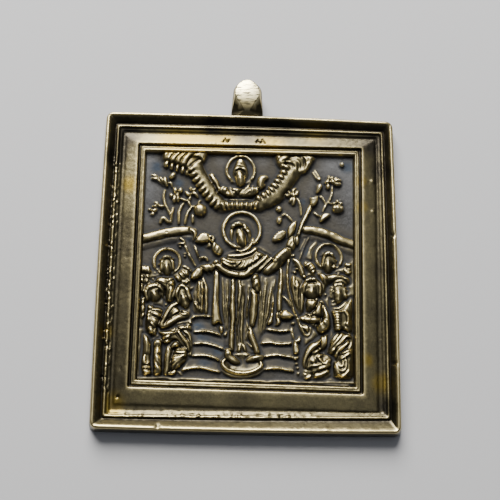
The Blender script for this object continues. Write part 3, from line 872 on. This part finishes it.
    # Front figure: cushion, forearm, sleeve and shoulders
    c.front.plate([(5.4, -8.1), (5.9, -7.5), (6.6, -7.05), (7.4, -7.6), (8.3, -8.3), (7.7, -9.0),
                   (6.4, -9.25),
                   (5.5, -8.8)], 1.05, 0.7)
    c.line.stroke([(5.6, -8.0), (6.0, -7.6), (6.6, -7.3), (7.3, -7.8), (8.0, -8.3)], 0.25, 0.27)
    c.front.plate([(11.6, -5.4), (13.0, -5.0), (14.4, -7.0), (15.0, -9.2), (14.4, -11.0), (13.0, -11.6),
                   (12.0, -10.8), (10.4, -9.8), (9.2, -9.4), (9.6, -7.8), (11.2, -7.0)], 0.75, 0.9)
    c.front.plate([(13.2, -5.4), (14.0, -6.4), (14.8, -8.2), (14.9, -9.8), (14.2, -11.0), (13.0, -11.5),
                   (12.1, -10.9), (12.0, -9.6), (13.0, -8.6), (13.1, -7.0)], 1.15, 0.9)
    c.cut.strokes([[(12.5, -9.4), (12.6, -10.2), (12.9, -10.9)],
                   [(13.2, -9.3), (13.3, -9.9), (13.9, -10.4)],
                   [(12.9, -8.4), (13.4, -8.8), (14.2, -9.1)]], 0.14, 0.26)
    c.line.strokes([[(12.7, -9.2), (12.8, -9.9)], [(13.4, -9.3), (13.8, -9.8)],
                    [(12.2, -10.6), (12.7, -11.2), (13.5, -11.2)]],
                   0.25, 0.27)
    c.front.stroke([(9.7, -8.75), (11.0, -8.95), (12.4, -9.1)], 0.58, 1.1, ends=(0.75, 0.9))
    c.front.strokes([[(10.2, -7.95), (10.9, -8.2), (11.3, -8.6)], [(9.8, -8.5), (10.6, -8.6)]], 0.2, 1.15)
    c.front.strokes([[(10.2, -7.7), (11.2, -7.4), (11.9, -6.8)],
                     [(12.4, -6.0), (13.1, -5.6), (13.6, -6.2)]], 0.22, 0.95)
    c.line.between([(12.2, -6.4), (12.3, -8.4)], [(12.8, -6.2), (12.8, -8.0)], 3, 0.16, 0.27)
    c.front.stroke([(11.5, -4.8), (11.3, -6.0), (10.8, -7.2)], 0.95, 1.0, ends=(1, 0.6))
    c.line.between([(10.7, -5.2), (10.3, -6.9)], [(12.1, -5.2), (11.3, -7.0)], 5, 0.19, 0.22)
    head(c, 11.35, -3.6, 1.32, 2.1, 1.2, turn=-4)
    c.front.stroke([(10.1, -2.15), (10.8, -1.8), (11.6, -1.75), (12.3, -2.1)], 0.4, 1.05)
    c.line.strokes([[(10.3, -2.0), (10.4, -1.7)], [(11.1, -1.8), (11.1, -1.4)],
                    [(11.7, -1.8), (11.8, -1.5)]], 0.25, 0.41)
    c.front.beads([(12.25, -5.2), (13.9, -4.3)], 0.28, 0.75)
    # Staff with a tasselled head beside the steps
    c.front.strokes([[(7.7, -9.75), (8.3, -9.6)], [(7.85, -10.4), (7.85, -11.4), (8.3, -12.7)]], 0.22, 0.7)
    c.front.plate([(8.0, -12.9), (8.6, -12.8), (9.1, -13.6), (9.1, -15.0), (8.2, -15.2), (7.9, -14.0)],
                  0.8, 0.4)
    c.front.stroke([(9.2, -12.1), (9.0, -12.8), (8.2, -13.0)], 0.28, 1.0)
    c.cut.stroke([(8.6, -13.6), (8.6, -14.9)], 0.12, 0.25)
    c.front.stroke([(8.1, -15.6), (8.5, -15.8), (9.0, -15.6)], 0.26, 0.9)
    c.front.beads([(8.7, -16.8), (8.8, -17.6), (8.9, -18.5)], 0.26, 0.75)


def shawl_and_arms(c):
    """The wide shawl with its curved hem, and the two arms held out from under it."""
    # Loose sleeve behind the arm on the left
    c.front.plate([(-9.5, 4.6), (-8.9, 5.7), (-8.3, 6.25), (-7.3, 6.2), (-6.8, 5.5), (-6.0, 4.7),
                   (-4.5, 3.3),
                   (-5.6, 2.2), (-6.6, 3.2), (-7.6, 4.2)], 0.6, 0.6)
    c.front.plate([(-9.8, 4.5), (-9.3, 5.7), (-8.5, 6.5), (-7.3, 6.5), (-6.7, 5.8), (-6.9, 4.8),
                   (-8.2, 4.4)],
                  0.85, 0.45)
    c.front.plate([(-6.9, 5.0), (-6.1, 4.9), (-4.5, 3.5), (-5.0, 2.1), (-6.3, 2.7), (-6.8, 3.9)], 0.75,
                  0.45)
    c.front.ring(-6.85, 5.3, 0.5, 0.2, 1.0, start=-90, stop=120)
    c.line.strokes([[(-6.6, 5.6), (-6.45, 5.1), (-6.7, 4.7)], [(-6.1, 4.7), (-6.2, 4.0), (-6.5, 3.3)],
                    [(-7.6, 4.0), (-6.9, 3.9)]], 0.25, 0.46)
    c.line.stroke([(-5.4, 4.2), (-5.6, 3.4), (-5.9, 2.8)], 0.25, 0.27)
    # Sleeve, forearm and hand on the left
    c.front.stroke([(-5.8, 0.3), (-7.2, 0.05), (-8.5, -0.25)], 0.62, 1.1, ends=(1, 0.9))
    c.line.strokes([[(-7.3, -0.5), (-6.9, -1.2)], [(-6.6, -0.4), (-6.2, -0.9)]], 0.2, 0.54)
    c.front.plate([(-7.9, -0.1), (-8.9, 0.2), (-9.7, -0.4), (-10.5, -1.7), (-10.1, -2.5), (-8.8, -2.3),
                   (-7.9, -1.4)], 1.15, 0.7)
    c.cut.strokes([[(-9.1, -0.6), (-9.5, -1.1), (-9.9, -1.8)], [(-8.7, -0.7), (-9.1, -1.3), (-9.4, -2.0)],
                   [(-8.3, -0.9), (-8.6, -1.5), (-8.8, -2.0)]], 0.1, 0.22)
    # Arm on the right: sleeve with ringed folds, forearm and fist
    arm = [(3.4, 0.0), (4.8, 1.2), (6.8, 3.2)]
    c.front.stroke([(7.0, 3.5), (7.6, 4.6), (8.3, 5.9)], 0.78, 0.95, ends=(0.9, 0.7))
    c.cut.strokes([[(7.2, 4.0), (7.8, 5.2)]], 0.12, 0.25)
    c.front.stroke([(8.7, 4.9), (8.75, 6.3)], 0.4, 1.0, ends=(0.7, 0.8))
    c.front.stroke(arm, 1.0, 1.15, ends=(0.9, 0.85))
    c.line.ribs(arm, 6, 0.15, 0.85, 0.29, 0.35, lean=0.3, span=(0.4, 1.0))
    c.cut.strokes([[(3.9, -0.2), (4.7, 0.9), (5.1, 1.9)], [(5.1, 0.5), (5.8, 1.6)]], 0.1, 0.16)
    # Shawl with a rolled hem and a second fold below it
    c.front.plate([(-5.9, 1.0), (-4.8, 1.9), (-3.4, 2.6), (-0.6, 3.5), (1.0, 4.4), (2.3, 3.4), (4.3, 2.3),
                   (3.4, 0.6), (1.4, -0.9), (-1.2, -1.8), (-3.6, -1.7), (-5.5, -0.7)], 0.75, 0.9)
    c.front.stroke([(1.2, -0.7), (2.4, 0.35), (4.0, 2.0)], 0.42, 0.95, ends=(0.5, 0.9))
    hem = [(-5.9, 0.75), (-4.7, -0.25), (-3.2, -0.95), (-1.6, -1.2), (-0.2, -0.85), (1.2, 0.25), (3.3, 2.4)]
    c.front.stroke(hem, 0.6, 1.15, ends=(0.95, 0.55))
    c.front.dome(-5.75, 1.0, 0.6, 0.5, 1.2, turn=30)
    c.cut.strokes([[(-0.75, -0.75), (-1.0, -1.2)], [(-1.4, -0.9), (-1.7, -1.3)], [(0.1, -0.9), (1.5, 0.1)]],
                  0.12, 0.3)
    c.line.strokes([[(-4.3, 1.35), (-3.2, 0.95), (-2.2, 1.05)], [(-4.6, 0.9), (-3.5, 0.35), (-2.5, 0.25)],
                    [(-2.2, 0.35), (-1.3, 1.35)], [(-1.6, -0.1), (-0.9, 0.6), (-0.6, 1.4)],
                    [(-0.9, -0.15), (-0.3, 0.6), (0.0, 1.5)], [(-0.1, -0.1), (0.35, 0.9), (0.5, 1.7)],
                    [(0.6, 0.4), (1.0, 1.4), (1.1, 2.1)], [(1.3, 1.2), (1.6, 2.0)]], 0.24, 0.43)
    c.line.dome(-4.6, 1.7, 0.55, 0.35, 0.5, turn=-10)
    c.line.dome(1.9, 2.5, 0.5, 0.26, 0.4, turn=40)
    # Scarf wound under the chin
    c.front.stroke([(1.3, 3.7), (0.4, 2.9), (-0.9, 2.4), (-2.2, 2.2), (-3.5, 2.2)], 0.5, 1.0,
                   ends=(0.8, 0.75))
    c.cut.stroke([(1.0, 3.0), (-0.2, 2.3), (-1.7, 2.05), (-3.0, 2.05)], 0.1, 0.26)
    c.front.stroke([(0.85, 5.7), (0.55, 4.7), (-0.2, 3.7), (-1.2, 3.15), (-2.2, 3.3)], 0.26, 0.95,
                   ends=(0.6, 0.6))


def sceptre(c):
    """The flowering staff: a bent shaft, a crown-shaped cup, a bud and an outlined leaf."""
    c.front.stroke([(8.9, 6.6), (9.5, 8.2), (10.4, 10.1), (11.1, 11.8), (11.5, 12.9)], 0.36, 0.95,
                   ends=(0.9, 1))
    c.front.plate([(11.1, 14.0), (10.95, 13.2), (11.2, 12.1), (11.9, 12.1), (12.6, 13.2), (12.6, 14.3),
                   (12.0, 13.9), (11.5, 13.7)], 0.95, 0.35)
    c.line.strokes([[(11.15, 13.8), (11.5, 13.4), (12.0, 13.9), (12.5, 14.2)]], 0.19, 0.41)
    c.front.plate([(12.1, 14.6), (12.3, 15.6), (12.4, 16.35), (13.2, 16.6), (13.55, 16.1), (13.2, 15.2),
                   (12.6, 14.6)], 1.0, 0.4)
    c.mass.plate([(12.05, 19.3), (13.2, 17.5), (12.5, 17.3), (11.5, 18.6)], 0.3, 0.2)
    c.line.strokes([[(12.05, 19.2), (12.7, 18.3), (13.15, 17.5)], [(11.6, 18.6), (12.1, 17.8), (12.6, 17.4),
                                                                  (13.1, 17.4)]], 0.16, 0.47, ends=(0.8,
                                                                                                    0.8))


def lower_ledge(c):
    """A thin bead along the foot of the panel."""
    c.front.stroke([(-18.9, -19.75), (0.0, -19.9), (18.8, -19.95)], 0.22, 0.5, ends=(1, 1))


def carve(c):
    for part in (steps, bodies, ground_arches, clouds, upper_figure, left_plants, right_plants,
                 bare_head_and_veil,
                 robe, angel_left, angel_right, kneeling_left, kneeling_right, shawl_and_arms, sceptre,
                 lower_ledge):
        part(c)


def sides(left, right, bottom, top):
    return np.array([left, right, bottom, top])


class Profile:
    """Stations across the frame. Each holds the reach inwards from the crest on the four sides."""

    def __init__(self, start):
        self.reach = start
        self.stations = []

    def station(self, width, height, skew, radius, bow):
        self.reach = self.reach + width
        self.stations.append((self.reach, height, skew, max(radius, 0.0), bow))

    def bead(self, width, base, top, skew, radius, bow, steps=5):
        """A half-round bead that stands on a base height."""
        for k in range(1, steps + 1):
            rise = math.sin(math.pi * k / steps)
            self.station(width / steps, base + (top - base) * max(rise, 0.0), skew, radius, bow)


def frame_profile():
    """The moulding from the back edge over the rim to the edge of the panel."""
    draft = sides(LEFT_DRAFT, RIGHT_DRAFT, BOTTOM_DRAFT, TOP_DRAFT)
    slope = sides(LEFT_SLOPE, RIGHT_SLOPE, BOTTOM_SLOPE, TOP_SLOPE)
    band = sides(LEFT_BAND, RIGHT_BAND, BOTTOM_BAND, TOP_BAND)
    square, ridge, panel = 0, 1, 2
    land = CREST_LAND / 2
    lean = draft * (BACK_EDGE_ROUND / THICKNESS)
    p = Profile(-draft + BACK_EDGE_ROUND * 0.8)
    p.station(0.0, 0.0, square, CORNER_RADIUS, SIDE_BOW)
    p.station(-BACK_EDGE_ROUND * 0.6, BACK_EDGE_ROUND * 0.3, square, CORNER_RADIUS, SIDE_BOW)
    p.station(-BACK_EDGE_ROUND * 0.2, BACK_EDGE_ROUND, square, CORNER_RADIUS, SIDE_BOW)
    p.station(draft - land - lean, THICKNESS - CREST_ROUND, square, CORNER_RADIUS, SIDE_BOW)
    p.station(lean + CREST_ROUND, THICKNESS, square, CORNER_RADIUS, SIDE_BOW)
    inner = INNER_CORNER_RADIUS
    p.station(CREST_LAND - 2 * CREST_ROUND, THICKNESS, square, inner, SIDE_BOW)
    p.station(CREST_ROUND, THICKNESS - CREST_ROUND, square, inner, SIDE_BOW)
    p.station(slope, SLOPE_FOOT_HEIGHT, ridge, inner, SIDE_BOW)
    p.bead(RIDGE_WIDTH, RIDGE_STEP_HEIGHT, RIDGE_HEIGHT, ridge, inner, SIDE_BOW / 2)
    p.station(RIDGE_STEP_WIDTH, RIDGE_STEP_HEIGHT, ridge, inner, SIDE_BOW / 2)
    p.station(MOULDING_EDGE, GROOVE_HEIGHT, ridge, inner, SIDE_BOW / 2)
    p.station(GROOVE_WIDTH, GROOVE_HEIGHT, panel, inner, 0.0)
    p.station(MOULDING_EDGE, BAND_OUTER_HEIGHT, panel, inner, 0.0)
    p.station(band - MOULDING_EDGE, BAND_INNER_HEIGHT, panel, inner, 0.0)
    p.station(MOULDING_EDGE, GAP_HEIGHT, panel, inner / 2, 0.0)
    p.station(GAP_WIDTH, GAP_HEIGHT, panel, inner / 2, 0.0)
    for _ in range(2):
        p.bead(BEAD_WIDTH, BEAD_HEIGHT - BEAD_DIP, BEAD_HEIGHT, panel, inner / 3, 0.0)
    p.station(PANEL_WALL, PANEL_HEIGHT, panel, 0.0, 0.0)
    return p.stations


def frame_corners(reach, skew):
    """Corners of one station's rectangle, counter-clockwise from bottom left."""
    rises = ((0.0, 0.0, 0.0), (BOTTOM_RIDGE_RISE, TOP_RIDGE_RISE, 0.0),
             (-BOTTOM_PANEL_FALL, TOP_PANEL_RISE, RIGHT_PANEL_LEAN))
    bottom_rise, top_rise, lean = rises[skew]
    left, right = -CREST_WIDTH / 2 + reach[0], CREST_WIDTH / 2 - reach[1]
    bottom, top = -CREST_HEIGHT / 2 + reach[2], CREST_HEIGHT / 2 - reach[3]
    return np.array([(left, bottom - bottom_rise), (right - lean, bottom + bottom_rise),
                     (right + lean, top + top_rise), (left, top - top_rise)])


def frame_loop(station, columns, rows):
    """Points around one station, with rounded corners and slightly bowed sides."""
    reach, height, skew, radius, bow = station
    corners = frame_corners(reach, skew)
    loop = []
    for k, outward in enumerate(((0, -1), (1, 0), (0, 1), (-1, 0))):
        start, stop = corners[k], corners[(k + 1) % 4]
        length = np.linalg.norm(stop - start)
        way = (stop - start) / length
        count = rows if k % 2 else columns
        share = np.arange(count) / count
        walked = share * length
        fillet = min(radius, length / 3)
        push = bow * (1 - (2 * share - 1)**2)
        if fillet > 0:
            for from_start in (True, False):
                gap = walked if from_start else length - walked
                turn = np.radians(45) * np.clip(1 - gap / fillet, 0, 1)
                near = gap < fillet
                moved = fillet * (1 - np.sin(turn))
                place = moved if from_start else length - moved
                walked = np.where(near, place, walked)
                push = np.where(near, push - fillet * (1 - np.cos(turn)), push)
        points = start + way * walked[:, None] + np.array(outward) * push[:, None]
        loop.append(np.column_stack([points, np.full(count, height)]))
    return np.vstack(loop)


def panel_grid(corners, columns, rows):
    """Places on the panel: rows run up, columns run right, and the rim of the grid is the panel's edge."""
    u = np.linspace(0, 1, columns + 1)[None, :, None]
    v = np.linspace(0, 1, rows + 1)[:, None, None]
    low = corners[0] * (1 - u) + corners[1] * u
    high = corners[3] * (1 - u) + corners[2] * u
    return low * (1 - v) + high * v


def softened(height):
    """The carving with its edges softened as sand and flow leave them."""
    for axis in (0, 1):
        padded = np.pad(height, [(1, 1) if k == axis else (0, 0) for k in (0, 1)], mode="edge")
        last = padded.shape[axis]
        before, after = (np.take(padded, range(a, last - 2 + a), axis) for a in (0, 2))
        height = (before + 2 * height + after) / 4
    return height


def panel_heights(places):
    """Height of the carved ground over the back, at each place on the panel."""
    left, right = places[..., 0].min(), places[..., 0].max()
    bottom, top = places[..., 1].min(), places[..., 1].max()
    x = DRAWN_LEFT + (DRAWN_RIGHT - DRAWN_LEFT) * (places[..., 0] - left) / (right - left)
    y = DRAWN_BOTTOM + (DRAWN_TOP - DRAWN_BOTTOM) * (places[..., 1] - bottom) / (top - bottom)
    carving = Carving(x, y)
    carve(carving)
    height = softened(carving.height()) * (RELIEF_HEIGHT / DRAWN_HEIGHT)
    wall = (BEAD_HEIGHT - PANEL_HEIGHT) * 0.8
    for edge in (np.s_[0, :], np.s_[-1, :], np.s_[:, 0], np.s_[:, -1]):
        height[edge] = np.minimum(height[edge], wall)
    return PANEL_HEIGHT + height


def around(grid):
    """The rim of a grid, counter-clockwise from its first corner."""
    return np.concatenate([grid[0, :-1], grid[:-1, -1], grid[-1, :0:-1], grid[:0:-1, 0]])


def plaque_mesh():
    """The whole plaque as one closed mesh: flat back, moulded frame and carved panel."""
    stations = frame_profile()
    corners = frame_corners(stations[-1][0], stations[-1][2])
    columns = max(8, round(np.linalg.norm(corners[1] - corners[0]) / CARVING_PITCH))
    rows = max(8, round(np.linalg.norm(corners[3] - corners[0]) / CARVING_PITCH))
    places = panel_grid(corners, columns, rows)
    heights = panel_heights(places)
    ground = np.concatenate([places, heights[..., None]], -1).reshape(-1, 3)
    loops = [frame_loop(station, columns, rows) for station in stations[:-1]]
    count = len(loops[0])
    middle = loops[0].mean(axis=0)[None]
    points = np.concatenate([ground] + loops + [middle])
    index = np.arange(len(ground)).reshape(rows + 1, columns + 1)
    rings = [len(ground) + count * k + np.arange(count) for k in range(len(loops))] + [around(index)]
    faces = [np.stack([index[:-1, :-1], index[:-1, 1:], index[1:, 1:], index[1:, :-1]], -1).reshape(-1, 4)]
    for outer, inner in zip(rings, rings[1:]):
        faces.append(np.stack([outer, np.roll(outer, -1), np.roll(inner, -1), inner], -1))
    back = np.stack([np.full(count, len(points) - 1), np.roll(rings[0], -1), rings[0]], -1)
    mesh = bpy.data.meshes.new("bronze_icon")
    mesh.from_pydata(points.tolist(), [], np.concatenate(faces).tolist() + back.tolist())
    mesh.update()
    return mesh


def lug_outline(width, drop, low_widths, low_drops, heights, centre):
    """Points down the right side and up the left one: a round top, then straight stretches below it."""
    turns = [math.radians(90 * k / LUG_ARC_STEPS) for k in range(1, LUG_ARC_STEPS + 1)]
    widths = [width * math.sin(turn) for turn in turns] + list(low_widths)
    drops = [drop * (1 - math.cos(turn)) for turn in turns] + list(low_drops)
    heights = [heights[0]] * len(turns) + list(heights[1:])
    tip = CREST_HEIGHT / 2 + LUG_RISE
    right = [(centre + w / 2, tip - d, z) for w, d, z in zip(widths, drops, heights)]
    left = [(2 * centre - x, y, z) for x, y, z in right]
    return right + left[::-1]


def lug_mesh():
    """The lug: a block with a round head, whose front is filed to a drop above a narrow neck."""
    to_crest = LUG_RISE - CREST_LAND
    to_foot = LUG_RISE + LUG_ROOT
    body_drops = (LUG_NECK_DROP, to_crest, to_foot)
    body = (LUG_SHOULDER_WIDTH, LUG_SHOULDER_DROP, (LUG_FOOT_WIDTH,) * 3, body_drops)
    trimmed = (LUG_SHOULDER_WIDTH - 2 * CREST_ROUND, LUG_SHOULDER_DROP,
               (LUG_FOOT_WIDTH - 2 * CREST_ROUND,) * 3, body_drops)
    facet = (LUG_FACET_WIDTH, LUG_FACET_DROP, (LUG_NECK_WIDTH, LUG_FLARE_WIDTH, LUG_FLARE_WIDTH), body_drops)
    buried = BACK_EDGE_ROUND
    loops = [lug_outline(*trimmed, (0.0, 0.0, 0.0, buried), LUG_CENTRE),
             lug_outline(*body, (CREST_ROUND, CREST_ROUND, CREST_ROUND, buried + CREST_ROUND), LUG_CENTRE),
             lug_outline(*body, (LUG_SHOULDER_HEIGHT, LUG_SIDE_HEIGHT, LUG_SIDE_HEIGHT, PANEL_HEIGHT),
                         LUG_CENTRE),
             lug_outline(*facet, (LUG_THICKNESS, LUG_NECK_HEIGHT, THICKNESS, PANEL_HEIGHT),
                         LUG_CENTRE - LUG_FACET_SHIFT)]
    bm = bmesh.new()
    rings = [[bm.verts.new(point) for point in loop] for loop in loops]
    for lower, upper in zip(rings, rings[1:]):
        for k in range(len(lower)):
            n = (k + 1) % len(lower)
            bm.faces.new((lower[k], lower[n], upper[n], upper[k]))
    bm.faces.new(rings[0])
    top = rings[-1]
    for k in range(len(top) // 2 - 1):
        bm.faces.new((top[k], top[k + 1], top[-2 - k], top[-1 - k]))
    bmesh.ops.triangulate(bm, faces=bm.faces)
    bmesh.ops.recalc_face_normals(bm, faces=bm.faces)
    mesh = bpy.data.meshes.new("lug")
    bm.to_mesh(mesh)
    bm.free()
    return mesh


def bore_mesh():
    """The cord's bore, as a cylinder that runs from side to side through the lug."""
    bm = bmesh.new()
    bmesh.ops.create_cone(bm, cap_ends=True, segments=20, radius1=CORD_BORE / 2, radius2=CORD_BORE / 2,
                          depth=LUG_FOOT_WIDTH * 1.5)
    mesh = bpy.data.meshes.new("cord_bore")
    bm.to_mesh(mesh)
    bm.free()
    return mesh


def bronze():
    material = bpy.data.materials.new("bronze")
    material.use_nodes = True
    shader = material.node_tree.nodes["Principled BSDF"]
    shader.inputs["Base Color"].default_value = BRONZE_COLOUR
    shader.inputs["Roughness"].default_value = BRONZE_ROUGHNESS
    shader.inputs["Metallic"].default_value = 1.0
    return material


def place(mesh):
    thing = bpy.data.objects.new(mesh.name, mesh)
    bpy.context.scene.collection.objects.link(thing)
    return thing


def combine(target, helper, operation):
    """Join a helper to the target or cut it away."""
    helper.hide_render = True
    helper.display_type = "WIRE"
    modifier = target.modifiers.new(helper.name, "BOOLEAN")
    modifier.operation = operation
    modifier.solver = "EXACT"
    modifier.object = helper


def build():
    for thing in list(bpy.data.objects):
        bpy.data.objects.remove(thing)
    icon = place(plaque_mesh())
    icon.data.materials.append(bronze())
    icon.data.shade_smooth()
    triangles = sum(len(face.vertices) - 2 for face in icon.data.polygons)
    thin = icon.modifiers.new("fewer_faces", "DECIMATE")
    thin.ratio = min(1.0, FACE_BUDGET / triangles)
    combine(icon, place(lug_mesh()), "UNION")
    bore = place(bore_mesh())
    bore.location = (LUG_CENTRE, CREST_HEIGHT / 2 + LUG_RISE - CORD_BORE_DROP, LUG_THICKNESS / 2)
    bore.rotation_euler = (0.0, math.radians(90), 0.0)
    combine(icon, bore, "DIFFERENCE")


build()
